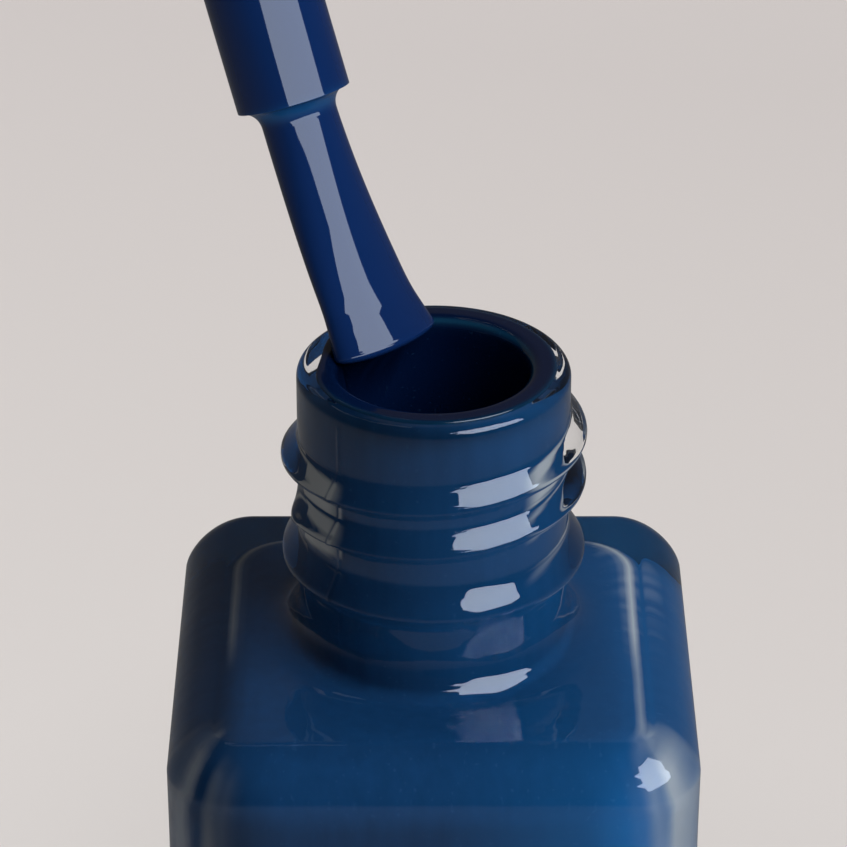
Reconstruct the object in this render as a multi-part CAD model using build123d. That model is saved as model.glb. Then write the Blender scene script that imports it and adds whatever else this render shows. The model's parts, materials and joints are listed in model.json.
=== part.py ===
from build123d import *
import os
from math import cos, radians, sin, sqrt

# A square glass nail polish bottle, open, with its brush applicator resting on the lip.
# Millimetres, +Z up. The origin is the middle of the bottle's flat base, and the front faces -Y.

# ---------------------------------------------------------------- glass bottle
body_width = 25.0  # square plan, across the flats
body_height = 36.0  # base to flat shoulder
body_corner_radius = 3.4  # upright corners, in plan
shoulder_edge_radius = 2.2  # edge between the shoulder and the sides
base_edge_radius = 1.2
side_wall = 1.9
shoulder_wall = 2.0
base_thickness = 4.0
cavity_corner_radius = 3.6
cavity_edge_radius = 2.3

# ---------------------------------------------------------------- neck finish (15-415 size)
bore_diameter = 9.2
neck_wall = 1.85  # plain neck, between the threads
neck_height = 14.3  # flat shoulder to rim
bore_flare_radius = 1.0  # where the bore opens into the cavity
lip_radius = 0.5  # rounding on both edges of the rim
neck_root_radius = 2.0  # concave sweep from the neck into the shoulder
thread_height = 0.8  # of the crests of thread and bead over the plain neck
thread_pitch = 2.33
thread_turns = 1.75
thread_width = 1.5  # at the root of the ridge
thread_start_depth = 2.6  # rim to the middle of the first ridge, at the back
bead_depth = 9.4  # rim to the crest of the plain bead under the thread
bead_width = 2.8
crest_share = 0.24  # of a ridge's width that is flat along its crest
flank_share = (0.75, 0.54)  # of a ridge's height and width where its flank turns
root_overlap = 0.25  # ridges are sunk this far into the wall that carries them

# ---------------------------------------------------------------- polish and mixing balls
polish_headspace = 2.4  # cavity ceiling to the surface of the polish
film_thickness = 0.12  # wet polish left on the lip and in the bore
film_rim_gap = 0.15  # the film ends this far inside the rim's outer rounding
film_foot = 0.3  # film ends this far above the flare at the bottom of the bore
ball_diameter = 4.0
ball_wall_gap = 2.0  # ball to the two cavity walls nearest to it
ball_floor_gap = 0.02

# ---------------------------------------------------------------- brush
stem_diameter = 5.0  # thick lower end, above the bristles
stem_taper = 0.3  # on the radius, up to the cap
stem_thick_length = 24.0
spigot_step = 0.4  # on the radius, where the stem enters the inner cap
spigot_length = 5.0
stem_edge_radius = 0.3
tuft_hole_diameter = 3.0
tuft_hole_depth = 4.0
staple_wire = 0.5
staple_cover = 0.4  # of stem left outside each end of the staple
staple_inset = 1.0  # from the end of the tuft in its hole
bristle_length = 12.6
bristle_root = (1.65, 1.50)  # half width and half thickness where the tuft leaves the stem
bristle_tip = (2.45, 0.95)  # the same near the tip, where the tuft fans out flat
bristle_bend = 1.5  # how far the lip pushes the tip off the stem's line
tip_rounding = 1.4  # length over which the tuft's end is rounded off
tip_bluntness = 0.9  # 1 would round the end to a knife edge
tuft_sections = 6
tip_sections = 3
coat_thickness = 0.22  # wet polish on the brush
coat_stem_length = 17.0  # stretch of stem above the bristles that is wet
coat_tail_length = 3.0  # over which the coat thins out up the stem
coat_meniscus_radius = 0.95
coat_corner_radius = 0.3
bridge_size = (2.5, 1.5, 1.0)  # half length along the lip, half width across it, half height
tip_floor_gap = 1.2  # brush tip to the bottle's inner floor when the cap is shut

# ---------------------------------------------------------------- cap
liner_thickness = 0.9
liner_bore_gap = 0.65  # radial, to the cap's bore
liner_stem_gap = 0.2
liner_seat_gap = 0.05
skirt_shoulder_gap = 0.8  # skirt to shoulder when the cap is shut
cap_thread_gap = 0.2  # radial, to the bottle's thread crests
inner_cap_wall = 1.05
inner_cap_roof = 1.6
socket_wall = 1.5
socket_height = 7.0  # from the underside of the roof
grip_rib_count = 24  # the outer cap is pressed over these
grip_rib_depth = 0.25
grip_rib_width = 0.6
cap_thread_turns = 1.0
cap_thread_width = 0.9
cap_thread_depth = 6.4  # rim to the middle of the ridge's lowest point when the cap is shut
cap_thread_neck_gap = 0.22  # radial, ridge to the plain neck
outer_cap_skirt_wall = 0.95  # over the inner cap's ribs
outer_cap_taper = 0.6  # on the radius, from the skirt to the top
outer_cap_height = 34.0
outer_cap_roof = 1.5
outer_cap_wall = 1.2  # above the inner cap
outer_cap_edge_radius = 1.4
stiffener_count = 6
stiffener_thickness = 0.8
stiffener_socket_gap = 0.6

# ---------------------------------------------------------------- pose of the resting applicator
lean_angle = 23.0  # of the stem from upright
lean_azimuth = 135.0  # direction in which its top leans, from +X towards +Y: back and left
tip_dip = 0.7  # stem's line at the tip, below the rim
resting_gap = 0.105  # coat on the brush to the film on the lip; the bridge of polish fills it
lip_samples = 200  # places along the tuft that are tried against the lip
swing_arm = 50.0  # from the crossing of stem line and bottle axis to the centre of the swing
thread_clear_gap = 0.2  # cap thread above the bottle's thread at the end of the insertion

# ---------------------------------------------------------------- worked-out sizes
rim_z = body_height + neck_height
ceiling_z = body_height - shoulder_wall
polish_z = ceiling_z - polish_headspace
cavity_width = body_width - 2 * side_wall
bore_radius = bore_diameter / 2
neck_radius = bore_radius + neck_wall
crest_radius = neck_radius + thread_height
ball_offset = cavity_width / 2 - ball_wall_gap - ball_diameter / 2
stem_radius = stem_diameter / 2
stem_top_radius = stem_radius - stem_taper
spigot_radius = stem_top_radius - spigot_step
applicator_length = rim_z - base_thickness - tip_floor_gap  # brush tip to the liner's face
cap_face = applicator_length + liner_thickness + liner_seat_gap  # underside of the cap's roof
skirt_length = neck_height - skirt_shoulder_gap + liner_thickness + liner_seat_gap
skirt_edge = cap_face - skirt_length
cap_bore_radius = crest_radius + cap_thread_gap
inner_cap_radius = cap_bore_radius + inner_cap_wall
socket_radius = spigot_radius + socket_wall
outer_cap_radius = inner_cap_radius + grip_rib_depth + outer_cap_skirt_wall
lean = radians(lean_angle)


def tuft_outline(height, coat=0.0):
    """Half width, half thickness, sideways shift and height of one oval outline of the tuft."""
    down = 1 - height / bristle_length
    fan = down * down * (3 - 2 * down)
    rounding = 1
    drop = 0
    if height < tip_rounding:
        rounding = sqrt(1 - (tip_bluntness * (1 - height / tip_rounding)) ** 2)
        drop = coat
    half_width, half_depth = (
        rounding * (root + (tip - root) * fan) + coat for root, tip in zip(bristle_root, bristle_tip)
    )
    return half_width, half_depth, -bristle_bend * down * down, height - drop


def tip_reach():
    """How far the tip lies from the bottle's axis, with the brush just off the lip."""
    clear = lip_radius + film_thickness + resting_gap
    reaches = []
    for k in range(lip_samples):
        _, half_depth, shift, along = tuft_outline(bristle_length * k / lip_samples, coat_thickness)
        side = half_depth + shift
        rise = along * cos(lean) - side * sin(lean) + lip_radius - tip_dip
        if abs(rise) < clear:
            room = bore_radius + lip_radius - sqrt(clear**2 - rise**2)
            reaches.append(room - along * sin(lean) - side * cos(lean))
    return min(reaches)


# ---------------------------------------------------------------- worked-out places
crossing_depth = tip_reach() * cos(lean) / sin(lean)  # below the tip
away = Vector(cos(radians(lean_azimuth)), sin(radians(lean_azimuth)), 0)
upward = Vector(0, 0, 1)
stem_direction = away * sin(lean) + upward * cos(lean)
crossing_below_rim = tip_dip + crossing_depth
crossing = upward * (rim_z - crossing_below_rim)
tip_on_axis = crossing + stem_direction * (crossing_depth / cos(lean))
swing_axis = away.cross(upward)
swing_centre = crossing - away * (swing_arm * cos(lean / 2)) + upward * (swing_arm * sin(lean / 2))
engage_gap = (
    cap_thread_depth
    + cap_thread_width / 2
    - thread_start_depth
    + thread_width / 2
    + thread_clear_gap
)
insertion_travel = crossing_depth / cos(lean) + applicator_length - engage_gap - crossing_below_rim
resting = Plane(origin=tip_on_axis, x_dir=swing_axis, z_dir=stem_direction)


def rounded_block(width, low, high, corner, top_edge, bottom_edge):
    """A square block with rounded upright corners and rounded top and bottom edges."""
    plan = Plane.XY.offset(low) * RectangleRounded(width, width, corner)
    block = extrude(plan, high - low)
    block = fillet(block.edges().group_by(Axis.Z)[-1], top_edge)
    return fillet(block.edges().group_by(Axis.Z)[0], bottom_edge)


def lathe(*edges):
    """Turn a closed outline of (radius, height) points once round the Z axis."""
    return revolve(Plane.XZ * make_face(edges), Axis.Z)


def standing_cylinder(radius, low, height):
    return Pos(0, 0, low) * Cylinder(radius, height, align=(Align.CENTER, Align.CENTER, Align.MIN))


def ridge(radius, crest, width, turns, low_z, inward=False):
    """A rounded helical ridge that climbs anticlockwise, right-handed, from azimuth 0."""
    helix = Helix(thread_pitch, thread_pitch * turns, radius, center=(0, 0, low_z))
    height = abs(crest - radius)
    start = Plane(origin=helix @ 0, x_dir=(-1 if inward else 1, 0, 0), z_dir=helix % 0)
    turn_height = height * flank_share[0]
    turn_width = width * flank_share[1] / 2
    outline = Polyline(
        (height, width * crest_share / 2),
        (turn_height, turn_width),
        (0, width / 2),
        (-root_overlap, width / 2),
        (-root_overlap, -width / 2),
        (0, -width / 2),
        (turn_height, -turn_width),
        (height, -width * crest_share / 2),
        close=True,
    )
    return sweep(start * make_face(outline), path=helix, is_frenet=True)


def chamber():
    """The square space under the shoulder that holds the polish."""
    return rounded_block(
        cavity_width,
        base_thickness,
        ceiling_z,
        cavity_corner_radius,
        cavity_edge_radius,
        cavity_edge_radius,
    )


def bore():
    """The round way through the neck, flared below and rounded at the lip."""
    flare = bore_radius + bore_flare_radius
    flare_z = ceiling_z + bore_flare_radius
    mouth = bore_radius + lip_radius
    lip_z = rim_z - lip_radius
    over = rim_z + lip_radius
    under = ceiling_z - lip_radius
    return lathe(
        Polyline((0, over), (0, under), (flare, under), (flare, ceiling_z)),
        RadiusArc((flare, ceiling_z), (bore_radius, flare_z), bore_flare_radius),
        Line((bore_radius, flare_z), (bore_radius, lip_z)),
        RadiusArc((bore_radius, lip_z), (mouth, rim_z), lip_radius),
        Polyline((mouth, rim_z), (mouth, over), (0, over)),
    )


def neck():
    """The solid neck before it is bored: a concave root below, a rounded lip above."""
    root = neck_radius + neck_root_radius
    root_z = body_height + neck_root_radius
    low = body_height - shoulder_wall / 2
    lip = neck_radius - lip_radius
    lip_z = rim_z - lip_radius
    return lathe(
        Polyline((0, rim_z), (0, low), (root, low), (root, body_height)),
        RadiusArc((root, body_height), (neck_radius, root_z), neck_root_radius),
        Line((neck_radius, root_z), (neck_radius, lip_z)),
        RadiusArc((neck_radius, lip_z), (lip, rim_z), -lip_radius),
        Line((lip, rim_z), (0, rim_z)),
    )


def bead():
    """The plain ring under the thread."""
    crest_z = rim_z - bead_depth
    low = crest_z - bead_width / 2
    high = crest_z + bead_width / 2
    return lathe(
        ThreePointArc((neck_radius, low), (crest_radius, crest_z), (neck_radius, high)),
        Polyline((neck_radius, high), (bore_radius, high), (bore_radius, low), (neck_radius, low)),
    )


def glass_bottle():
    """Square body, round neck with a helical thread, a plain bead and a rounded lip."""
    body = rounded_block(
        body_width, 0, body_height, body_corner_radius, shoulder_edge_radius, base_edge_radius
    )
    low_z = rim_z - thread_start_depth - thread_pitch * thread_turns
    thread = ridge(neck_radius, crest_radius, thread_width, thread_turns, low_z)
    thread = Rotation(0, 0, 90 - 360 * (thread_turns % 1)) * thread
    return body + neck() + bead() + thread - (chamber() + bore())


def mixing_ball(side):
    """A steel ball on the inner floor, side -1 at the front left and 1 at the back right."""
    height = base_thickness + ball_floor_gap + ball_diameter / 2
    return Pos(side * ball_offset, side * ball_offset, height) * Sphere(ball_diameter / 2)


def polish_fill():
    """Polish from the inner floor up to its surface, lying round the two balls."""
    above = Pos(0, 0, polish_z) * Box(
        body_width, body_width, body_height, align=(Align.CENTER, Align.CENTER, Align.MIN)
    )
    return chamber() - above - mixing_ball(-1) - mixing_ball(1)


def lip_polish_film():
    """A thin wet layer down the bore and over the rounded lip."""
    low = ceiling_z + bore_flare_radius + film_foot
    inner = bore_radius - film_thickness
    turn = bore_radius + lip_radius
    lip_z = rim_z - lip_radius
    top = rim_z + film_thickness
    reach = neck_radius - lip_radius - film_rim_gap
    return lathe(
        Line((inner, low), (inner, lip_z)),
        RadiusArc((inner, lip_z), (turn, top), lip_radius + film_thickness),
        Line((turn, top), (reach - film_thickness, top)),
        RadiusArc((reach - film_thickness, top), (reach, rim_z), film_thickness),
        Line((reach, rim_z), (turn, rim_z)),
        RadiusArc((turn, rim_z), (bore_radius, lip_z), -lip_radius),
        Polyline((bore_radius, lip_z), (bore_radius, low), (inner, low)),
    )


# The applicator's pieces are drawn upright, with the brush tip at the origin and the cap above.


def tuft(coat=0.0):
    """The fanned brush outside the stem, with a rounded tip, grown by a coat of polish."""
    heights = [bristle_length * k / tuft_sections for k in range(tuft_sections, 0, -1)]
    heights += [tip_rounding * k / tip_sections for k in range(tip_sections, -1, -1)]
    sections = []
    for height in heights:
        half_width, half_depth, shift, along = tuft_outline(height, coat)
        sections.append(Location((0, shift, along)) * Ellipse(half_width, half_depth))
    return loft(sections, ruled=True)


def tuft_root():
    """The round end of the tuft, packed into the hole in the stem."""
    return standing_cylinder(tuft_hole_diameter / 2, bristle_length, tuft_hole_depth)


def bristle_staple():
    """The wire anchor that crosses the tuft's folded end and bites into the stem."""
    height = bristle_length + tuft_hole_depth - staple_inset
    return Pos(0, 0, height) * Box(stem_diameter - 2 * staple_cover, staple_wire, staple_wire)


def bristles():
    return tuft() + tuft_root() - bristle_staple()


def brush_stem():
    """A thick rod with a blind hole for the tuft below and a spigot for the cap above."""
    low = bristle_length
    edge = stem_radius - stem_edge_radius
    edge_z = low + stem_edge_radius
    rod = lathe(
        Polyline((0, cap_face), (0, low), (edge, low)),
        RadiusArc((edge, low), (stem_radius, edge_z), -stem_edge_radius),
        Polyline(
            (stem_radius, edge_z),
            (stem_radius, low + stem_thick_length),
            (stem_top_radius, applicator_length - liner_seat_gap),
            (stem_top_radius, cap_face),
            (spigot_radius, cap_face),
            (spigot_radius, cap_face + spigot_length),
            (0, cap_face + spigot_length),
            (0, cap_face),
        ),
    )
    return rod - tuft_root() - bristle_staple()


def brush_polish_coat():
    """Wet polish over the tuft and the lower stem, drawn in below the stem's end."""
    skin = stem_radius + coat_thickness
    low = bristle_length - coat_thickness
    corner = skin - coat_corner_radius
    corner_z = low + coat_corner_radius
    inside = corner - coat_meniscus_radius
    waist = low - coat_meniscus_radius
    top = bristle_length + coat_stem_length
    sleeve = lathe(
        Polyline((0, top), (0, waist), (inside, waist)),
        RadiusArc((inside, waist), (corner, low), coat_meniscus_radius),
        RadiusArc((corner, low), (skin, corner_z), -coat_corner_radius),
        Polyline((skin, corner_z), (skin, top - coat_tail_length), (stem_radius, top), (0, top)),
    )
    stem = standing_cylinder(stem_radius, bristle_length, stem_thick_length)
    # a quarter turn keeps the sleeve's seam off the tuft's
    return Rotation(0, 0, 90) * sleeve + tuft(coat_thickness) - tuft() - stem


def cap_liner():
    """A soft washer round the stem that seals on the rim."""
    washer = Circle(cap_bore_radius - liner_bore_gap) - Circle(stem_top_radius + liner_stem_gap)
    return Pos(0, 0, applicator_length) * extrude(washer, liner_thickness)


def inner_cap():
    """The threaded closure, with a socket that grips the stem and ribs under the outer cap."""
    roof = cap_face + inner_cap_roof
    spigot_top = cap_face + spigot_length
    socket_top = cap_face + socket_height
    shell = lathe(
        Polyline(
            (spigot_radius, cap_face),
            (cap_bore_radius, cap_face),
            (cap_bore_radius, skirt_edge),
            (inner_cap_radius, skirt_edge),
            (inner_cap_radius, roof),
            (socket_radius, roof),
            (socket_radius, socket_top),
            (0, socket_top),
            (0, spigot_top),
            (spigot_radius, spigot_top),
            (spigot_radius, cap_face),
        )
    )
    low_z = applicator_length - cap_thread_depth
    turns_below_start = (cap_thread_depth - thread_pitch / 2 - thread_start_depth) / thread_pitch
    azimuth = 90 - 360 * turns_below_start - (lean_azimuth - 90)
    crest = neck_radius + cap_thread_neck_gap
    thread = ridge(cap_bore_radius, crest, cap_thread_width, cap_thread_turns, low_z, inward=True)
    rib = Pos(inner_cap_radius, 0, (skirt_edge + roof) / 2) * Box(
        2 * grip_rib_depth, grip_rib_width, roof - skirt_edge - 2 * grip_rib_width
    )
    rib &= standing_cylinder(inner_cap_radius + grip_rib_depth, skirt_edge, roof - skirt_edge)
    ribs = [Rotation(0, 0, 360 * k / grip_rib_count) * rib for k in range(grip_rib_count)]
    return shell + Rotation(0, 0, azimuth) * thread + ribs


def outer_cap():
    """A plain, slightly tapered cover, stiffened inside by radial webs."""
    head = outer_cap_radius - outer_cap_taper
    seat = inner_cap_radius + grip_rib_depth
    roof_z = cap_face + inner_cap_roof
    top = skirt_edge + outer_cap_height
    inside = head - outer_cap_wall
    shell = lathe(
        Polyline(
            (seat, skirt_edge),
            (outer_cap_radius, skirt_edge),
            (head, top),
            (0, top),
            (0, top - outer_cap_roof),
            (inside, top - outer_cap_roof),
            (inside, roof_z),
            (seat, roof_z),
            (seat, skirt_edge),
        )
    )
    shell = fillet(shell.edges().group_by(Axis.Z)[-1], outer_cap_edge_radius)
    hub = socket_radius + stiffener_socket_gap
    web = Pos(hub, 0, roof_z) * Box(
        inside - hub + outer_cap_wall / 2,
        stiffener_thickness,
        top - outer_cap_roof / 2 - roof_z,
        align=(Align.MIN, Align.CENTER, Align.MIN),
    )
    return shell + [Rotation(0, 0, 360 * k / stiffener_count) * web for k in range(stiffener_count)]


def polish_bridge(glass, film):
    """Wet polish that joins the underside of the brush to the lip it rests on."""
    contact = away * (bore_radius + lip_radius / 2) + upward * rim_z
    blob = Plane(origin=contact, x_dir=swing_axis).location * scale(Sphere(1), by=bridge_size)
    brush = resting.location * tuft(coat_thickness)
    return (blob - [brush, glass, film]).solids().sort_by(SortBy.VOLUME)[-1]


def write(name, shape):
    export_step(shape, f"parts/{name}.step")


os.makedirs("parts", exist_ok=True)
glass = glass_bottle()
film = lip_polish_film()
write("glass_bottle", glass)
write("lip_polish_film", film)
write("polish_bridge", polish_bridge(glass, film))
write("polish_fill", polish_fill())
write("mixing_ball_front", mixing_ball(-1))
write("mixing_ball_back", mixing_ball(1))
brush_pieces = (bristles, bristle_staple, brush_stem, brush_polish_coat)
cap_pieces = (cap_liner, inner_cap, outer_cap)
for piece in brush_pieces + cap_pieces:
    write(piece.__name__, resting.location * piece())

print("brush tip to sealing face", round(applicator_length, 3))
print("tip from the bottle's axis", round(tip_reach(), 4), "crossing depth", round(crossing_depth, 4))
print("insertion travel", round(insertion_travel, 4), "cap left above its seat", round(engage_gap, 3))
print("turn in radians per metre of insertion", round(lean / insertion_travel * 1000, 4))
print("tip on axis", tip_on_axis, "stem direction", stem_direction)
print("swing axis", swing_axis, "swing centre", swing_centre)
print("ball travel", ceiling_z - base_thickness - ball_diameter - 2 * ball_floor_gap)
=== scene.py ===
# %% [markdown]
# # A bottle of blue nail polish, open, with its brush on the lip
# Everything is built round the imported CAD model, in metres, with +Z up and the bottle's base at
# the origin. The CAD says where each piece is; this script gives each one its finished surface.

# %% Load the frame
import json
import math

import bpy
import numpy as np
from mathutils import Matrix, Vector

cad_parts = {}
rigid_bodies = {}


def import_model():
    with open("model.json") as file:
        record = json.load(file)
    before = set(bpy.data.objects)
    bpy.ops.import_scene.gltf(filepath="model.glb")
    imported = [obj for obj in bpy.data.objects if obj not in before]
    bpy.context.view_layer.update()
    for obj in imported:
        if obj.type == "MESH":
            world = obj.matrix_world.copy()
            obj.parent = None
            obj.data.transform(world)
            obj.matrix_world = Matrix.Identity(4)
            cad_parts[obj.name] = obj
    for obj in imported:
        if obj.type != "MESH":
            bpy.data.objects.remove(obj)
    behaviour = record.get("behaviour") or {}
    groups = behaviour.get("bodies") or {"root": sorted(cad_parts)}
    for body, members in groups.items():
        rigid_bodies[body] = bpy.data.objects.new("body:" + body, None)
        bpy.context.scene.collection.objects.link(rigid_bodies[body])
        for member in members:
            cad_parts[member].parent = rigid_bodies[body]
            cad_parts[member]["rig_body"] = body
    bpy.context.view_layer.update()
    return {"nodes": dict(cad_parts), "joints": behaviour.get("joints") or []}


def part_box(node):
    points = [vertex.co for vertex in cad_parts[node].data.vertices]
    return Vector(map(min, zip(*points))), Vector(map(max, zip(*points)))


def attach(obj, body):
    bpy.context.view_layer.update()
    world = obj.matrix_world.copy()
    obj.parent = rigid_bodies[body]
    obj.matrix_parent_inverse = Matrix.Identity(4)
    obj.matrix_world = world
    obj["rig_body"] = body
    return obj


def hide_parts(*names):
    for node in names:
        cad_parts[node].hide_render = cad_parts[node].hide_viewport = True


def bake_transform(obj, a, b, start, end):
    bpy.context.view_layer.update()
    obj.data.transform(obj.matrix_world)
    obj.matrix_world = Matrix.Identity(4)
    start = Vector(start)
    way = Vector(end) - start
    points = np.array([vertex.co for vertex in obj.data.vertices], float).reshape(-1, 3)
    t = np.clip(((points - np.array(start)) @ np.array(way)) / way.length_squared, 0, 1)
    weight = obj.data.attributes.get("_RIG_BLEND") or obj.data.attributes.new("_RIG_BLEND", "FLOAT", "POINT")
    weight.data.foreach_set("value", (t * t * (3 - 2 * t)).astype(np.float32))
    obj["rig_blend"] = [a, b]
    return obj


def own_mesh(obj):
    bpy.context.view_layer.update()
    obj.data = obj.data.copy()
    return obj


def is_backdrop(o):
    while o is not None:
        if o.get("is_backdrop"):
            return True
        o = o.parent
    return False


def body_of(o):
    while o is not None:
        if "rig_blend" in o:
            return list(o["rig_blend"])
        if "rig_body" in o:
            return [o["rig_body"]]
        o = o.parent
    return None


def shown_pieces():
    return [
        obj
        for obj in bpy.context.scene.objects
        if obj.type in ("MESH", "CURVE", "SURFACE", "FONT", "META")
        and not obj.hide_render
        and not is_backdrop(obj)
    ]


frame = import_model()
MM = 0.001

# %% [markdown]
# ## Sizes
# A few driving sizes are enough, because the bottle is a square block with a round neck. Heights
# come from the frame, so that the glass drawn here can't drift from the part that it stands for.
# Named values keep the later formulas readable, and a change is made in one place.

# %% Driving sizes of the bottle
bottle_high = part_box("glass_bottle")[1]
polish_low, polish_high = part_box("polish_fill")
rim_z = bottle_high.z
body_half = bottle_high.x
floor_z = polish_low.z
polish_z = polish_high.z
cavity_half = polish_high.x

neck_height = 14.3 * MM
shoulder_wall = 2.0 * MM
shoulder_z = rim_z - neck_height
ceiling_z = shoulder_z - shoulder_wall
corner = 3.4 * MM  # radius of the body's four upright corners
shoulder_edge = 2.2 * MM
bevel = 1.35  # 1 would round the shoulder's edge evenly, 2 would make it a flat bevel
base_edge = 1.2 * MM
cavity_corner = 3.6 * MM
cavity_edge = 2.3 * MM

neck_r = 6.45 * MM
bore_r = 4.6 * MM
lip_r = 0.5 * MM
root_r = 2.0 * MM  # hollow curve from the shoulder into the neck
flare_r = 1.0 * MM  # rounded lower end of the bore
mouth = bore_r + lip_r
flare = bore_r + flare_r
print("rim at", round(rim_z / MM, 2), "mm, shoulder at", round(shoulder_z / MM, 2), "mm")

# %% [markdown]
# ## Where the brush lies
# The brush leans in the mouth. Its direction and the place of its tip are the axes and the pivot
# of its joints, so they are read from the frame and never typed in twice.

# %% Frame of the brush
def joint(name):
    """One joint of the frame, found by its name."""
    return next(j for j in frame["joints"] if j["name"] == name)


stem_up = -np.array(joint("brush_insertion")["axis"])
swing = np.array(joint("brush_uprighting")["axis"])
tip = np.array(joint("brush_spin")["pos_m"])
local_frame = np.stack([swing, np.cross(stem_up, swing), stem_up])
print("stem direction", stem_up.round(3), "tip in mm", (tip / MM).round(2))

# %% [markdown]
# ## Camera
# The bottle is seen close up with a long lens, from in front and about 29 degrees above. A long
# lens keeps the upright edges nearly parallel. The camera is made before the pieces, because the
# framing decides which of them need the most detail.

# %% Camera
camera_data = bpy.data.cameras.new("camera")
camera_data.lens = 177.7
camera_data.sensor_width = 36.0
camera_data.clip_start = 0.01
camera_data.clip_end = 20.0
camera = bpy.data.objects.new("camera", camera_data)
bpy.context.scene.collection.objects.link(camera)
looks_down = 28.9
camera.location = (-0.48 * MM, -172.7 * MM, 142.5 * MM)
camera.rotation_euler = (math.radians(90 - looks_down), 0, 0)
bpy.context.scene.camera = camera
print("lens", camera_data.lens, "mm, looking down", looks_down, "degrees")

# %% [markdown]
# ## From arrays to meshes
# Every new piece is a grid of points: rows along a profile, columns once round. A grid can be
# worked out as whole numpy arrays, which is quick and leaves no stray faces. One function turns
# any such grid into a closed mesh, so a shape only has to say where its points are. Rows run so
# that "anticlockwise column, then next row" makes each face look outwards.

# %% Grid to mesh
def to_mesh(name, points, faces):
    """A smooth mesh from points and from arrays of corner numbers, one array per face size."""
    mesh = bpy.data.meshes.new(name)
    corners = np.concatenate([f.ravel() for f in faces]).astype(np.int32)
    sizes = np.concatenate([np.full(len(f), f.shape[1]) for f in faces])
    starts = np.concatenate([[0], np.cumsum(sizes)[:-1]]).astype(np.int32)
    mesh.vertices.add(len(points))
    mesh.vertices.foreach_set("co", np.asarray(points, np.float32).ravel())
    mesh.loops.add(len(corners))
    mesh.loops.foreach_set("vertex_index", corners)
    mesh.polygons.add(len(sizes))
    mesh.polygons.foreach_set("loop_start", starts)
    mesh.polygons.foreach_set("use_smooth", np.ones(len(sizes), bool))
    mesh.update(calc_edges=True)
    mesh.validate()
    thing = bpy.data.objects.new(name, mesh)
    bpy.context.scene.collection.objects.link(thing)
    return thing


def tube_quads(number):
    """Four-cornered faces of a grid of point numbers whose last axis joins up."""
    a, d = number[:-1], number[1:]
    return np.stack([a, np.roll(a, -1, -1), np.roll(d, -1, -1), d], -1).reshape(-1, 4)


def closed_grid(name, grid):
    """A closed piece from a grid of rows, columns and XYZ.

    Columns join up round each row, and each end is closed by a fan to the middle of its row."""
    count = grid.shape[0] * grid.shape[1]
    number = np.arange(count).reshape(grid.shape[:2])
    first, last = number[0], number[-1]
    fans = [
        np.stack([np.full(len(first), count), np.roll(first, -1), first], -1),
        np.stack([last, np.roll(last, -1), np.full(len(last), count + 1)], -1),
    ]
    points = np.concatenate([grid.reshape(-1, 3), np.stack([grid[0].mean(0), grid[-1].mean(0)])])
    return to_mesh(name, points, [tube_quads(number), np.concatenate(fans)])


print("a grid of n rows and m columns gives", "(n - 1) m quads and 2 m triangles")

# %% [markdown]
# ## Three curves that shape everything
# A soft step, a bell and a smooth ripple cover nearly all that a maker's hand or a mould does to
# a surface. Sums of sine waves with seeded phases come out the same on every run.

# %% Step, bell and ripple
def smooth_step(x):
    """0 below 0, 1 above 1, and an even S-curve between."""
    x = np.clip(x, 0, 1)
    return x * x * (3 - 2 * x)


def bell(x):
    """1 at 0 and less on both sides: the exponential of minus the square."""
    return np.exp(-(x**2))


def ripple(*coordinates, seed, waves=6):
    """Smooth noise from -1 to 1: a sum of sine waves with seeded directions and phases."""
    rng = np.random.default_rng(seed)
    total = 0
    for _ in range(waves):
        direction = rng.normal(size=len(coordinates))
        phase = rng.uniform(0, 2 * np.pi)
        total = total + np.sin(sum(d * c for d, c in zip(direction, coordinates)) + phase)
    return total / waves


print("step at a half:", smooth_step(0.5), "bell at one:", round(bell(1.0), 3))

# %% [markdown]
# ## The bottle's outline
# A round neck on a square body could be two meshes joined by a boolean, but light that passes
# through clear glass shows every such seam. Here one grid covers the whole bottle. Each row is
# either a circle or a rounded square, both given as a distance from the axis in each direction,
# so one can pass into the other on the flat shoulder.

# %% Columns and rows
columns = 384
turn = np.linspace(0, 2 * np.pi, columns, endpoint=False)
around = turn + 0.12 * np.sin(4 * turn)  # columns stand closer together at the four corners
quarter = np.linspace(0, np.pi / 2, 10)


def square_reach(half, corner_radius):
    """Distance from the axis to a rounded square, for each column.

    On a flat it is half the width over the cosine of the angle off that flat's middle. On a
    corner it is where the ray meets the corner's circle."""
    half = np.atleast_1d(half)[:, None]
    radius = np.atleast_1d(corner_radius)[:, None]
    off = np.abs((around + np.pi / 4) % (np.pi / 2) - np.pi / 4)
    middle = half - radius
    across = np.pi / 4 - off
    far = middle * math.sqrt(2)
    beyond = np.sqrt(np.maximum(radius**2 - (far * np.sin(across)) ** 2, 0))
    on_flat = half * np.tan(off) <= middle
    return np.where(on_flat, half / np.cos(off), far * np.cos(across) + beyond)


def circle_reach(radius):
    """Distance from the axis to a circle, for each column: the radius itself."""
    return np.atleast_1d(radius)[:, None] + 0 * around


def between(first, last, shares):
    """Distances at given shares of the way from one row's distances to another's."""
    shares = np.array(shares)[:, None]
    return first * (1 - shares) + last * shares


def rows(reach, z):
    """A stack of rows: distances from the axis, and one height for each row or for each point."""
    z = np.atleast_1d(z)
    z = z[:, None] if z.ndim == 1 else z
    return np.stack(np.broadcast_arrays(reach, z), -1)


def place(stack):
    """Distances and heights become XYZ."""
    reach, z = stack[..., 0], stack[..., 1]
    return np.stack([reach * np.cos(around), reach * np.sin(around), z], -1)


def spaced(start, end, count, edge=0.06 * MM):
    """Even heights from start to end, and one more close to each to keep the shading crisp."""
    run = np.linspace(start, end, count)
    nudge = edge if end > start else -edge
    return np.concatenate([run[:1], [start + nudge], run[1:-1], [end - nudge], run[-1:]])


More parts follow.
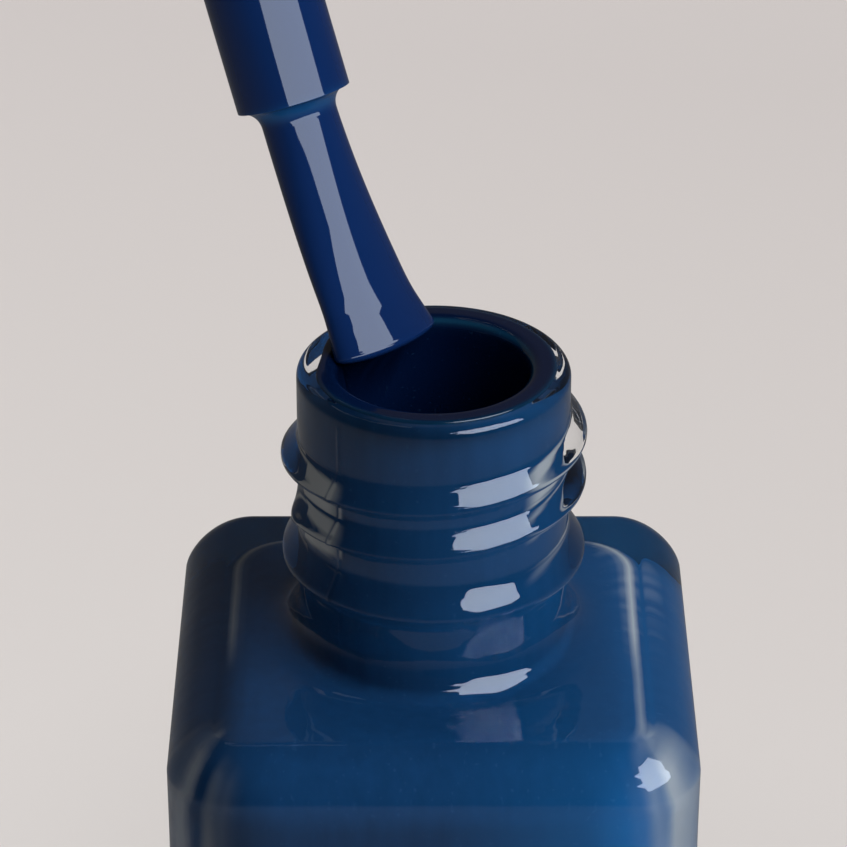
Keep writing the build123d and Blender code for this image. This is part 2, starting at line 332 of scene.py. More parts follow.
closest = round(math.degrees(np.diff(around).min()), 2)
print(columns, "columns, the closest", closest, "degrees apart")

# %% [markdown]
# ## Thread, bead and mould seam
# The cap screws on a rounded thread, and a plain bead under it stops the cap. Both are ridges on
# the neck, so they are added to the neck's radius, as one function of angle and depth. That keeps
# the neck one smooth skin, where a swept thread would need a boolean. A mould in two halves also
# leaves a fine seam on two opposite sides.

# %% Thread and bead
ridge_height = 0.8 * MM
pitch = 2.33 * MM
thread_start = 2.8 * MM  # depth of its crest below the rim, at the back
thread_turns = 1.75
thread_flanks = (1.15 * MM, 0.75 * MM)  # above the crest, below it
thread_fade = 0.45  # radians
bead_depth = 9.7 * MM
bead_flanks = (1.6 * MM, 1.0 * MM)
seam_angle = math.radians(133)
seam_width = math.radians(0.9)
seam_height = 0.05 * MM
seam_top = 0.8 * MM


def flank(off, above, below):
    """A ridge's height from 1 to 0: a straight slope with eased ends, longer above than below."""
    t = np.clip(np.abs(off) / np.where(off < 0, above, below), 0, 1)
    ease = 0.22
    low = t**2 / (2 * ease * (1 - ease))
    high = 1 - (1 - t) ** 2 / (2 * ease * (1 - ease))
    return 1 - np.where(t < ease, low, np.where(t > 1 - ease, high, (t - ease / 2) / (1 - ease)))


def thread_height(angle, depth):
    """How far the neck stands out at an angle and a depth below the rim.

    The thread's crest lies one pitch deeper for each turn clockwise from the back, and fades in
    and out at its ends. The bead is a plain ring. The seam is a bell over the angle from it, on
    two opposite sides."""
    height = np.zeros(np.broadcast(angle, depth).shape)
    length = thread_turns * 2 * np.pi
    for lap in range(2):
        travelled = (np.pi / 2 - angle) % (2 * np.pi) + 2 * np.pi * lap
        crest = thread_start + pitch * travelled / (2 * np.pi)
        ends = smooth_step(travelled / thread_fade)
        ends = ends * smooth_step((length - travelled) / thread_fade)
        height = np.maximum(height, ridge_height * ends * flank(depth - crest, *thread_flanks))
    height = np.maximum(height, ridge_height * flank(depth - bead_depth, *bead_flanks))
    off_seam = (angle + seam_angle) % np.pi
    off_seam = np.minimum(off_seam, np.pi - off_seam)
    return height + seam_height * bell(off_seam / seam_width) * (depth > seam_top)


bead_height = thread_height(np.zeros(1), np.full(1, bead_depth))[0]
print("bead stands out", round(bead_height / MM, 2), "mm")

# %% [markdown]
# ## The outside of the glass
# A polish bottle is pressed and blown glass: thick, with a heavy base, rounded edges and faces
# that aren't quite flat. The grid starts in the middle of the base, which is slightly hollow so
# that the bottle stands on its edge, climbs the walls, crosses the shoulder and runs up the neck.

# %% Outside of the glass
def base_rows():
    """The hollow base and its rounded edge."""
    shares = np.array([0.04, 0.3, 0.6, 0.8, 0.9, 0.985])
    hollow = 0.35 * MM * (1 - smooth_step((shares - 0.55) / 0.33))
    foot = square_reach(body_half - base_edge, corner - base_edge)
    inset = base_edge * (1 - np.sin(quarter))
    edge = rows(square_reach(body_half - inset, corner - inset), base_edge * (1 - np.cos(quarter)))
    return [rows(between(0, foot, shares), hollow), edge]


def wall_rows(low, high):
    """The four walls: a rounded square less a ripple, which fades out 3 mm from each end."""
    z = spaced(low, high, 22)[1:-1]
    fade = smooth_step((z - low) / (3 * MM)) * smooth_step((high - z) / (3 * MM))
    wave = ripple(np.cos(around) * 3, np.sin(around) * 3, z[:, None] / (7 * MM), seed=3)
    return [rows(square_reach(body_half, corner) - 0.02 * MM * fade[:, None] * (1 + wave), z)]


def shoulder_rows(low):
    """The bevelled edge, the flat, and the hollow curve into the neck.

    The edge is a quarter circle whose sine and cosine are raised to the power named bevel."""
    fine = np.linspace(0, np.pi / 2, 19)
    inset = shoulder_edge * (1 - np.cos(fine) ** bevel)
    rise = shoulder_edge * np.sin(fine) ** bevel
    square = square_reach(body_half - shoulder_edge, corner - shoulder_edge)
    root = neck_r + root_r
    flat = between(square, circle_reach(root), [0.03, 0.2, 0.4, 0.6, 0.8, 0.97])
    curve = circle_reach(root - root_r * np.sin(quarter))
    return [
        rows(square_reach(body_half - inset, corner - inset), low + rise),
        rows(flat, shoulder_z),
        rows(curve, shoulder_z + root_r * (1 - np.cos(quarter))),
    ]


def neck_rows():
    """The neck with its ridges, and the outer half of the rounded lip."""
    z = np.linspace(shoulder_z + root_r, rim_z - lip_r, 108)[1:-1]
    lip = circle_reach(neck_r - lip_r + lip_r * np.cos(quarter))
    return [
        rows(neck_r + thread_height(around, rim_z - z[:, None]), z),
        rows(lip, rim_z - lip_r * (1 - np.sin(quarter))),
    ]


edge_z = shoulder_z - shoulder_edge
outside = base_rows() + wall_rows(base_edge, edge_z) + shoulder_rows(edge_z) + neck_rows()
print(sum(len(part) for part in outside), "rows outside")

# %% [markdown]
# ## The inside of the glass
# The inner wall matters as much as the outer one, because glass shows what lies behind it bent by
# both. The same rows are needed three times: for the glass, a hair inside it for the polish that
# wets it, and a little in front of it for the film. So each is a function of how far it grows
# into the glass.

# %% Inside of the glass
flat_half = cavity_half - cavity_edge
flat_corner = cavity_corner - cavity_edge
flat_square = square_reach(flat_half, flat_corner)


def lip_bend(grow=0.0):
    """The inner half of the rounded lip, from its top to the bore: a quarter circle."""
    radius = lip_r - grow
    z = rim_z - grow - radius * (1 - np.cos(quarter))
    return rows(circle_reach(mouth - radius * np.sin(quarter)), z)


def flare_bend(grow=0.0):
    """The rounded lower end of the bore, down to the ceiling: a quarter circle."""
    radius = flare_r - grow
    z = ceiling_z + grow + radius * (1 - np.sin(quarter))
    return rows(circle_reach(flare - radius * np.cos(quarter)), z)


def ceiling(shares, grow=0.0):
    """The flat under the shoulder, from the bore's circle out to the cavity's square."""
    return rows(between(circle_reach(flare), flat_square, shares), ceiling_z + grow)


def chamber_wall(grow=0.0):
    """The cavity's rounded edges and straight wall, from ceiling to floor, grown outwards."""
    out = cavity_edge * np.sin(quarter) + grow
    z = ceiling_z - cavity_edge * (1 - np.cos(quarter))
    top = rows(square_reach(flat_half + out, flat_corner + out), z)
    wall_z = spaced(ceiling_z - cavity_edge, floor_z + cavity_edge, 12)[1:-1]
    straight = rows(square_reach(cavity_half + grow, cavity_corner + grow), wall_z)
    bottom = top[::-1].copy()
    bottom[..., 1] = floor_z + ceiling_z - bottom[..., 1]
    return np.concatenate([top, straight, bottom])


flat_lip = circle_reach(np.array([neck_r - lip_r - 0.06 * MM, mouth + 0.06 * MM]))
inside = [
    rows(flat_lip, rim_z),
    lip_bend(),
    rows(circle_reach(bore_r), spaced(rim_z - lip_r, ceiling_z + flare_r, 8)[1:-1]),
    flare_bend(),
    ceiling([0.03, 0.25, 0.5, 0.75, 0.97]),
    chamber_wall(),
    rows(between(0, flat_square, [0.97, 0.7, 0.4, 0.1]), floor_z),
]
glass = closed_grid("bottle_glass", place(np.concatenate(outside + inside)))
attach(glass, "bottle")
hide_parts("glass_bottle")
print("glass", len(glass.data.polygons), "faces")

# %% [markdown]
# ## The polish in the bottle
# Polish wets glass, so no air lies between them: the blue is seen at the inner face of the
# glass. The two meshes therefore overlap by a hair, and the polish's surface lies inside the
# glass, where a ray in the glass meets it first. Two surfaces in one place would flicker.

# %% Polish pool
wetting = 0.025 * MM  # how far polish reaches into the glass that it touches
film = 0.12 * MM


def pool_rows():
    """Rows of the liquid in two lists: under it in the glass, and its surface.

    The surface rises by the exponential of the distance from the wall, as a meniscus does."""
    wall = chamber_wall(wetting)[::-1]
    wall[wall[..., 1] < floor_z + 0.01 * MM, 1] = floor_z - wetting
    away_from_wall = np.array([0.16, 0.3, 0.5, 0.8, 1.5, 2.6, 4.5]) * MM
    round_corner = np.maximum(cavity_corner - away_from_wall, 0.3 * MM)
    drop = 0.9 * MM * (1 - np.exp(-away_from_wall / (0.9 * MM)))
    surface = rows(square_reach(cavity_half - away_from_wall, round_corner), polish_z - drop)
    underside = rows(between(0, flat_square, [0.05, 0.4, 0.7, 0.97]), floor_z - wetting)
    return [underside, wall], [surface]


print("pool surface at", round(polish_z / MM, 2), "mm")

# %% [markdown]
# ## The film that the brush leaves
# A bottle that has been carried about is blue inside right up to the lip, and a brush wiped on
# the lip leaves a skin of polish over it, with a rolled edge that no one could draw with a
# compass. Film and pool are one liquid, so they are one closed mesh: its rows run from the floor
# up inside the glass to the lip, turn over, and come back down on the wet side to the pool. Two
# meshes that only touched would show a dark line in the glass where they met.

# %% Film of polish
film_ceiling = [0.1, 0.35, 0.65, 0.95]


def film_edge():
    """Where the film ends on top of the lip: a radius for each column, cut back at the left."""
    wander = ripple(np.cos(around) * 2.5, np.sin(around) * 2.5, seed=11)
    fine = ripple(np.cos(around) * 14, np.sin(around) * 14, seed=12)
    bare = bell((around - math.radians(172)) / math.radians(20))
    return (5.84 - 0.05 * (1 + wander) - 0.02 * (1 + fine) - 0.42 * bare) * MM


def film_in_glass(edge):
    """The side that wets the glass, from the cavity's ceiling up to the film's edge."""
    bore = rows(circle_reach(bore_r + wetting), np.linspace(ceiling_z + flare_r, rim_z - lip_r, 70))
    return [
        ceiling(film_ceiling, wetting)[::-1],
        flare_bend(wetting)[::-1],
        bore[1:-1],
        lip_bend(wetting)[::-1],
        rows(between(mouth, edge, [0.3, 0.7, 1.0]), rim_z - wetting),
    ]


def film_in_air(edge):
    """The wet side, from the rolled edge down to the pool.

    The roll is a quarter ellipse. In the bore the film sags by a ripple that is long downwards,
    as runs of polish are."""
    roll_width = 0.2 * MM
    across = np.linspace(0, np.pi / 2, 7)[:, None]
    roll_start = edge - roll_width
    runs_z = np.linspace(rim_z - lip_r, ceiling_z + flare_r, 40)[1:-1]
    sag = ripple(np.cos(around) * 5, np.sin(around) * 5, runs_z[:, None] / (9 * MM), seed=21)
    wall = chamber_wall(-film)
    return [
        rows(roll_start + roll_width * np.cos(across), rim_z + film * np.sin(across)),
        rows(between(roll_start, mouth, np.linspace(0, 1, 6)[1:-1]), rim_z + film),
        lip_bend(-film),
        rows(bore_r - film - 0.05 * MM * (1 + sag), runs_z),
        flare_bend(-film),
        ceiling(film_ceiling, -film),
        wall[wall[:, 0, 1] > polish_z + 0.2 * MM],
    ]


below, surface = pool_rows()
in_glass = np.concatenate(below + film_in_glass(film_edge()))
wet_side = np.concatenate(film_in_air(film_edge()) + surface)
skin = closed_grid("polish_in_bottle", place(np.concatenate([in_glass, wet_side])))
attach(skin, "bottle")
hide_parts("polish_fill", "lip_polish_film")
print("pool and film", len(skin.data.polygons), "faces")

# %% [markdown]
# ## The brush
# The brush is drawn upright with its tip at the origin, as its maker would draw it, and a turn
# and a shift then lay it on the lip. Its bristles fan out flat towards the tip. The same outline
# gives the bristles and, grown by the thickness of the coat, the polish on them.

# %% Brush outline
tuft_length = 12.6 * MM
tuft_bend = 1.5 * MM
root_half = (1.65 * MM, 1.50 * MM)
tip_half = (2.45 * MM, 0.95 * MM)
tip_round = 1.4 * MM
stem_r = 2.5 * MM
coat = 0.22 * MM
brush_sides = 96
side_turn = np.linspace(0, 2 * np.pi, brush_sides, endpoint=False)


def tuft_section(height):
    """Half width, half depth and sideways shift of the tuft's ellipse, before its tip is rounded.

    The fan opens by an even S-curve from the stem to the tip, and the bend towards the lip grows
    with the square of the distance from the stem."""
    down = 1 - height / tuft_length
    fan = down**2 * (3 - 2 * down)
    width, depth = (root + (end - root) * fan for root, end in zip(root_half, tip_half))
    return width, depth, -tuft_bend * down**2


def tuft_outline(height, grown=0.0):
    """Half width, half depth, sideways shift and height of the tuft with its blunt, round tip."""
    width, depth, shift = tuft_section(height)
    rounded = np.sqrt(np.maximum(1 - (0.9 * np.maximum(1 - height / tip_round, 0)) ** 2, 0))
    lowered = height - grown * (1 - smooth_step(height / tip_round))
    return width * rounded + grown, depth * rounded + grown, shift, lowered


def lay_on_lip(local):
    """Turns points drawn upright into the brush's resting place."""
    return tip + np.asarray(local) @ local_frame


def on_brush(width, depth, shift, height, swell=0.0):
    """Elliptical rows across the brush, in the bottle's frame; swell adds to both halves."""
    x = (width[:, None] + swell) * np.cos(side_turn)
    y = (depth[:, None] + swell) * np.sin(side_turn) + shift[:, None]
    return lay_on_lip(np.stack(np.broadcast_arrays(x, y, height[:, None]), -1))


near_tip = tuft_outline(tip_round)
print("tuft near the tip, half sizes in mm", [round(v / MM, 2) for v in near_tip[:2]])

# %% [markdown]
# ## Bristles
# A nail brush holds a few hundred nylon fibres. Here each is a thin six-sided tube. Their places
# come from a sunflower spiral, which spreads points evenly in a circle, and each keeps its own
# place in the ellipse from the stem to the tip, so that none crosses another. The tuft turns with
# the stem at its root and stays bent on the lip at its tip, so it is blended between two bodies.

# %% Bristles
golden_angle = 2.399963
fibre_count = 170


def bristle_tubes(count, sides=6, levels=9, radius=0.06 * MM):
    """Tubes from inside the stem to the tip: points and faces for all of them at once.

    A fibre at share s of the ellipse's radius and a fixed angle follows the ellipse's centre
    line plus s times its half width and half depth, and its tip ends on the brush's rounding."""
    rng = np.random.default_rng(5)
    k = np.arange(count)
    spot = np.sqrt((k + 0.5) / count) * 0.93
    angle = k * golden_angle
    end = 0.25 * MM + 1.1 * MM * spot**2 + rng.uniform(0, 0.15 * MM, count)
    in_stem = 3.0 * MM
    rise = np.linspace(0, 1, levels)[:, None]
    height = end + (tuft_length + in_stem - end) * rise
    width, depth, shift = tuft_section(np.minimum(height, tuft_length))
    squeeze = np.where(height > tuft_length, 0.84, 0.96)
    x = width * squeeze * spot * np.cos(angle)
    y = depth * squeeze * spot * np.sin(angle) + shift
    ring = np.linspace(0, 2 * np.pi, sides, endpoint=False)
    circle = radius * np.stack([np.cos(ring), np.sin(ring), 0 * ring], -1)
    points = np.stack([x, y, height], -1)[:, :, None, :] + circle
    number = np.arange(levels * count * sides).reshape(levels, count, sides)
    caps = np.concatenate([number[0][:, ::-1], number[-1]])
    return lay_on_lip(points).reshape(-1, 3), [tube_quads(number), caps]


fibres = to_mesh("bristles_fibres", *bristle_tubes(fibre_count))
tuft_low = tuple(lay_on_lip((0, 0, 0.3 * tuft_length)))
tuft_high = tuple(lay_on_lip((0, 0, tuft_length - coat)))
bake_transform(fibres, "liner", "applicator", start=tuft_low, end=tuft_high)
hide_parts("bristles")
print(fibre_count, "fibres,", len(fibres.data.polygons), "faces")

# %% [markdown]
# ## Wet polish on the brush
# Polish hides the bristles under one smooth skin. Surface tension rounds it: it hangs in a ring
# under the end of the stem, draws in below it, and follows the tuft. Up the stem it is a thin
# coat, and at the tip it spreads a little where it meets the lip. The rows run up the outside and
# back down the inside, so the coat is a real shell round the tuft and the stem.

# %% Brush coat
coat_climb = 17 * MM
coat_top = tuft_length + coat_climb
coat_start = tuft_length - coat
fillet_drop = 0.95 * MM
foot_height = 3.2 * MM
foot_spread = 0.6 * MM
hair = 0.02 * MM


def coat_profile(height):
    """Half width and half depth of the coat's outer face, at any height up the brush.

    Below the stem it is the tuft plus the coat. Close to the stem a quarter circle carries it
    out to the stem's radius plus the coat."""
    width, depth, shift, level = tuft_outline(np.minimum(height, tuft_length), coat)
    drop = np.clip((coat_start - height) / fillet_drop, 0, 1)
    fillet = 1 - np.sqrt(np.maximum(1 - (1 - drop) ** 2, 0))
    on_stem = stem_r + coat * smooth_step((coat_top - height) / (4 * MM))
    over = height > coat_start
    width = np.where(over, on_stem, width + (on_stem - width) * fillet)
    depth = np.where(over, on_stem, depth + (on_stem - depth) * fillet)
    return width, depth, np.where(over, 0, shift), np.where(over, height, level)


def spread_foot(heights, width, depth):
    """Widens the lowest part by a power of the depth below the foot's top, and closes the tip."""
    foot = np.clip(1 - heights / foot_height, 0, 1)
    blunt = tuft_outline(np.maximum(heights, tip_round), coat)
    close = np.sqrt(1 - 0.96 * np.clip(1 - heights / (0.5 * MM), 0, 1) ** 2)
    width = np.where(foot > 0, (blunt[0] + foot_spread * foot**2.4) * close, width)
    depth = np.where(foot > 0, (blunt[1] + 0.7 * foot_spread * foot**2.4) * close, depth)
    return width, depth


def rest_on_lip(points):
    """Lifts points to the film on the lip, or to a level that falls 1.1 mm inside the bore."""
    reach = np.hypot(points[..., 0], points[..., 1])
    fall = 1.1 * MM * smooth_step((bore_r + 0.4 * MM - reach) / (1.2 * MM))
    points[..., 2] = np.maximum(points[..., 2], rim_z + film + hair - fall)
    return points


print("coat ends", round(coat_climb / MM, 1), "mm up the stem")

# %% Brush coat mesh
tip_rows = tip_round * (1 - np.cos(np.linspace(0.03, np.pi / 2, 14)))


def coat_outside():
    """The coat's outer face, with fine ridges along the brush and a broad unevenness."""
    parts = [
        tip_rows,
        np.linspace(tip_round, tuft_length - 1.6 * MM, 44)[1:],
        coat_start - fillet_drop * np.linspace(1.25, 0.0, 16) ** 1.6,
        coat_start + hair + (coat_climb + 0.1 * MM) * np.linspace(0, 1, 60) ** 1.15,
    ]
    heights = np.concatenate(parts)
    width, depth, shift, level = coat_profile(heights)
    width, depth = spread_foot(heights, width, depth)
    x, y, z = np.cos(side_turn), np.sin(side_turn), heights[:, None]
    ridges = ripple(x * 9, y * 6, z / (14 * MM), seed=31)
    broad = ripple(x * 2, y * 2, z / (5 * MM), seed=32)
    swell = 0.018 * MM * ridges + 0.035 * MM * broad
    return rest_on_lip(on_brush(width, depth, shift, level, swell))


def coat_inside():
    """The coat's inner face, a hair inside the stem and on the tuft's own outline below it."""
    on_stem = [coat_top, tuft_length + hair]
    on_tuft = [tuft_length - hair, *np.linspace(tuft_length - 0.3 * MM, tip_round, 12)]
    heights = np.concatenate([on_stem, on_tuft, tip_rows[::-1]])
    width, depth, shift, _ = tuft_outline(np.minimum(heights, tuft_length))
    width, depth = (np.where(heights > tuft_length, stem_r - hair, v) for v in (width, depth))
    return on_brush(width, depth, shift, heights)


wet_brush = closed_grid("brush_coat", np.concatenate([coat_outside(), coat_inside()]))
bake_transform(wet_brush, "liner", "applicator", start=tuft_low, end=tuft_high)
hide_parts("brush_polish_coat")
print("coat", len(wet_brush.data.polygons), "faces")

# %% [markdown]
# ## Polish between the brush and the lip
# Where the wet brush lies on the lip, polish gathers in the corner between them and runs down
# the inside of the bore. Surface tension makes a hollow fillet of it. It belongs to the bottle,
# and it sinks back into the film when the brush is lifted.

# %% Polish bridge
lean_azimuth = math.atan2(stem_up[1], stem_up[0])
bridge_foot = 4.6 * MM  # depth of its lower end below the rim
bridge_rise = 5.0 * MM
lip_overlap = 0.55 * MM


def polish_bridge():
    """A curtain of polish from under the brush's tip down the wall of the bore.

    Each level is a D lying against the wall. Its width grows upwards, its depth grows with a
    power of the height, which leaves the hollow fillet, and at the top it runs over the lip and
    ends in a dome. Ripples across the D stand for runs of polish."""
    t = np.linspace(0, 1, 40)[:, None]
    ring = np.linspace(0, 2 * np.pi, 80, endpoint=False)
    front = np.clip(np.sin(ring), 0, 1)
    back = np.clip(np.sin(ring), -1, 0)
    z = rim_z - bridge_foot + bridge_rise * t
    over_lip = lip_overlap * smooth_step((z - rim_z + 0.5 * MM) / (0.6 * MM))
    dome = np.sqrt(np.maximum(1 - np.clip((t - 0.86) / 0.14, 0, 1) ** 2, 0.02))
    depth = ((0.12 + 2.5 * t**2.6) * MM + over_lip) * dome
    half = (1.3 + 1.75 * t**1.5) * MM * dome
    runs = 0.05 * MM * np.sin(9 * np.cos(ring) + 2.2 * t) * front * t
    reach = bore_r - 0.05 * MM + over_lip - depth * front**0.8 - 0.04 * MM * back - runs
    azimuth = lean_azimuth + half * np.cos(ring) / bore_r
    return np.stack([reach * np.cos(azimuth), reach * np.sin(azimuth), z + 0 * reach], -1)[:, ::-1]


bridge = closed_grid("polish_bridge_wet", polish_bridge())
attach(bridge, "bottle")
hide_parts("polish_bridge")
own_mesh(bridge)
print("bridge", len(bridge.data.polygons), "faces")

# %% [markdown]
# ## Writing materials as sums
# A node tree is arithmetic drawn as boxes. A small class that wraps a socket and overloads the
# operators lets the arithmetic be written as arithmetic, and one method makes any other node.

# %% Material classes
class Wire:
    """A socket that can be added and multiplied; each operation adds a Math node."""

    def __init__(self, finish, socket):
        self.finish = finish
        self.socket = socket

    def combine(self, operation, other):
        """A Math node for one operation on this socket and another socket or number."""
        return self.finish.node("ShaderNodeMath", {"operation": operation}, {0: self, 1: other})

    def __add__(self, other):
        return self.combine("ADD", other)

    def __mul__(self, other):
        return self.combine("MULTIPLY", other)

    __radd__ = __add__
    __rmul__ = __mul__


class Finish:
    """A material, or the world's surface, whose nodes are made by one method, node()."""

    def __init__(self, name, kind=bpy.data.materials):
        self.material = kind.new(name)
        self.material.use_nodes = True
        self.tree = self.material.node_tree
        self.tree.nodes.clear()

    def node(self, kind, settings=None, inputs=None, output=0):
        """One node: its settings are set first, then its inputs, each a value or a Wire."""
        made = self.tree.nodes.new(kind)
        for name, value in (settings or {}).items():
            if name == "stops":
                set_stops(made.color_ramp, value)
            else:
                setattr(made, name, value)
        for name, value in (inputs or {}).items():
            if isinstance(value, Wire):
                self.tree.links.new(value.socket, made.inputs[name])
            else:
                made.inputs[name].default_value = value
        return Wire(self, made.outputs[output]) if made.outputs else None

    def place(self):
        """Where a point is in its piece's own coordinates, in metres."""
        return self.node("ShaderNodeTexCoord", output=3)

    def axis(self, vector, number):
        """One part of a place or a direction: 0, 1 or 2 for X, Y or Z."""
        return self.node("ShaderNodeSeparateXYZ", inputs={"Vector": vector}, output=number)

    def noise(self, scale, detail=3.0, stretch=(1, 1, 1)):
        """Noise from 0 to 1 over the piece's own coordinates, in features per metre."""
        vector = self.node("ShaderNodeMapping", inputs={"Vector": self.place(), "Scale": stretch})
        inputs = {"Vector": vector, "Scale": scale, "Detail": detail}
        return self.node("ShaderNodeTexNoise", inputs=inputs)

    def ramp(self, value, stops):
        """A value turned into a colour by (position, colour) stops."""
        return self.node("ShaderNodeValToRGB", {"stops": stops}, {"Fac": value})

    def blend(self, factor, first, second):
        """A mix of two colours."""
        inputs = {0: factor, 6: first, 7: second}
        return self.node("ShaderNodeMix", {"data_type": "RGBA"}, inputs, output=2)

    def bump(self, height, distance, strength=1.0):
        """A normal tilted as if the surface rose by the height times a distance in metres."""
        inputs = {"Height": height, "Distance": distance, "Strength": strength}
        return self.node("ShaderNodeBump", inputs=inputs)

    def mask(self, name):
        """An attribute of the mesh, one number for each vertex."""
        return self.node("ShaderNodeAttribute", {"attribute_name": name}, output=2)

    def surface(self, shader, output="ShaderNodeOutputMaterial"):
        """Joins a shader to the output, and hands the finished material back."""
        self.node(output, inputs={"Surface": shader})
        return self.material


print("wires can be added and multiplied")

# %% Ramps, paint and greys
def set_stops(ramp, stops):
    """Gives a colour ramp its stops."""
    while len(ramp.elements) > len(stops):
        ramp.elements.remove(ramp.elements[-1])
    while len(ramp.elements) < len(stops):
        ramp.elements.new(1.0)
    for element, (position, colour) in zip(ramp.elements, stops):
        element.position = position
        element.color = (*colour, 1)


def paint(thing, material):
    """Gives a piece its material in place of any it had."""
    thing.data.materials.clear()
    thing.data.materials.append(material)


def grey(level):
    """A colour whose red, green and blue are the same."""
    return (level, level, level)


print("mid grey is", grey(0.5))

# %% [markdown]
# ## Clear glass
# Glass is a clear shader with the index of refraction of soda-lime glass, 1.52. A path tracer
# would find hardly any light through it by chance, so for rays on their way to a lamp the glass
# is simply transparent. Faint waves from the mould bend the reflections a little.

# %% Glass finish
finish = Finish("clear_glass")
waves = finish.noise(260, 2.0) * 0.7 + finish.noise(900, 1.0) * 0.12
body = finish.node(
    "ShaderNodeBsdfPrincipled",
    inputs={
        "Base Color": (0.965, 0.975, 0.98, 1),
        "Roughness": 0.012,
        "IOR": 1.52,
        "Transmission Weight": 1.0,
        "Normal": finish.bump(waves, 0.00009),
    },
)
see_through = finish.node("ShaderNodeBsdfTransparent", inputs={"Color": (0.9, 0.92, 0.93, 1)})
to_a_lamp = finish.node("ShaderNodeLightPath", output=1)
both = finish.node("ShaderNodeMixShader", inputs={0: to_a_lamp, 1: body, 2: see_through})
paint(glass, finish.surface(both))
print("glass painted", glass.name)

# %% [markdown]
# ## Blue polish
# The polish is a deep blue that turns to teal where the film is thin. Against glass it has no
# shine of its own, since the glass is what shines. In air it is as smooth as a liquid. One
# material covers both, and four attributes of the mesh say where each look belongs. air is 1
# where a face meets air: it sets the weight of a glossy coat and turns the blue darker, which is
# painted shade in the mouth and the bore. The second shows the teal of thin film, and also a
# painted highlight on the lip's inner edge and a painted reflection on the brush's collar. The
# third paints a lighter blue on the right side, painted light from the softboxes. pale paints
# the light grey of clear glass in corners, lines and lobes: painted light, where light gets
# round the polish.

# %% Polish finishes
# painted light: the lighter blue of the side that faces the softboxes
painted_lit_blue = (0.007, 0.085, 0.215, 1)
# painted light: the grey of light seen through clear glass round the polish
painted_clear_grey = (0.33, 0.33, 0.31, 1)
fleck_blue = (0.10, 0.22, 0.36, 1)


def polish(name, deep, bright, thin, shaded_in_air, flecks):
    """Cloudy blue with fine streaks downwards, changed by the four attributes and by flecks."""
    finish = Finish(name)
    cloud = finish.noise(120, 2.0)
    streaks = finish.noise(1500, 2.0, stretch=(1, 1, 0.12))
    specks = finish.ramp(finish.noise(5200, 0.0), [(0.74, grey(0)), (0.84, grey(1))])
    colour = finish.ramp(cloud * 0.5 + streaks * 0.5, [(0.25, deep), (0.75, bright)])
    colour = finish.blend(finish.mask("settled"), colour, painted_lit_blue)
    # painted shade: where a face meets air the blue turns darker, most of all in the mouth and the bore
    colour = finish.blend(finish.mask("air"), colour, (*shaded_in_air, 1))
    colour = finish.blend(finish.mask("pale"), colour, painted_clear_grey)
    colour = finish.blend(finish.mask("thin"), colour, (*thin, 1))
    colour = finish.blend(specks * flecks, colour, fleck_blue)
    wave = finish.noise(300, 1.0) * 0.6 + finish.noise(1100, 2.0, stretch=(1, 1, 0.5)) * 0.15
    body = finish.node(
        "ShaderNodeBsdfPrincipled",
        inputs={
            "Base Color": colour,
            "Roughness": 0.45,
            "Specular IOR Level": 0.0,
            "Coat Weight": finish.mask("air"),
            "Coat Roughness": 0.03,
            "Coat IOR": 1.48,
            "Normal": finish.bump(wave, 0.00003),
        },
    )
    return finish.surface(body)


under_glass = polish(
    "polish_under_glass",
    deep=(0.0045, 0.026, 0.070),
    bright=(0.007, 0.037, 0.095),
    thin=(0.006, 0.045, 0.08),
    shaded_in_air=(0.0010, 0.006, 0.026),
    flecks=0.05,
)
on_brush_finish = polish(
    "polish_on_brush",
    deep=(0.003, 0.012, 0.048),
    bright=(0.004, 0.015, 0.060),
    thin=(0.006, 0.05, 0.12),
    shaded_in_air=(0.0020, 0.0095, 0.038),
    flecks=0.0,
)
print("polish materials", under_glass.name, on_brush_finish.name)

# %% [markdown]
# ## Where each look of the polish belongs
# These looks could be painted on by hand, but the mesh already has a point every fraction of a
# millimetre. So each look is worked out from the points' own places and stored as an attribute,
# one number for each point.

# %% Marks on the film
def mark(thing, name, values):
    """Stores one number for each vertex under a name that a material can read."""
    attribute = thing.data.attributes.new(name, "FLOAT", "POINT")
    attribute.data.foreach_set("value", np.asarray(values, np.float32))


def positions(thing):
    """The places of a piece's vertices, one row for each."""
    points = np.zeros(len(thing.data.vertices) * 3, np.float32)
    thing.data.vertices.foreach_get("co", points)
    return points.reshape(-1, 3).astype(float)


x, y, z = positions(skin).T
reach = np.hypot(x, y)
angle = np.arctan2(y, x)
order = np.arange(len(z))
floor_middle = len(z) - 2  # of the two points that close the grid's ends, the one in the glass
meets_air = (order >= in_glass.shape[0] * columns) & (order != floor_middle)
far_side = smooth_step((np.cos(angle - math.radians(40)) - 0.1) / 0.5)
# painted highlight: a teal line along the lip's inner edge, on the far side only; the outer edge is the film
# thinning
painted_inner_highlight = bell((reach - 4.66 * MM) / (0.10 * MM)) * far_side
outer_edge = smooth_step((reach - 5.45 * MM) / (0.4 * MM)) * 0.5
at_rim = meets_air & (z > rim_z - 0.6 * MM)
on_walls = 0.3 + 0.7 * smooth_step((ceiling_z - 0.5 * MM - z) / (3 * MM))
mark(skin, "air", meets_air)
mark(skin, "thin", at_rim * (0.8 * painted_inner_highlight + outer_edge))
# painted light: a lighter blue on the right side of the walls, towards the softboxes, less under the ceiling
mark(skin, "settled", smooth_step((x + 1 * MM) / (10 * MM)) * on_walls)
print(int(meets_air.sum()), "of", len(z), "points meet air")

# %% Painted light: clear lines, corners and lobes
below_ceiling = ceiling_z - z
streaks = ripple(angle * 45, z / (9 * MM), seed=41)


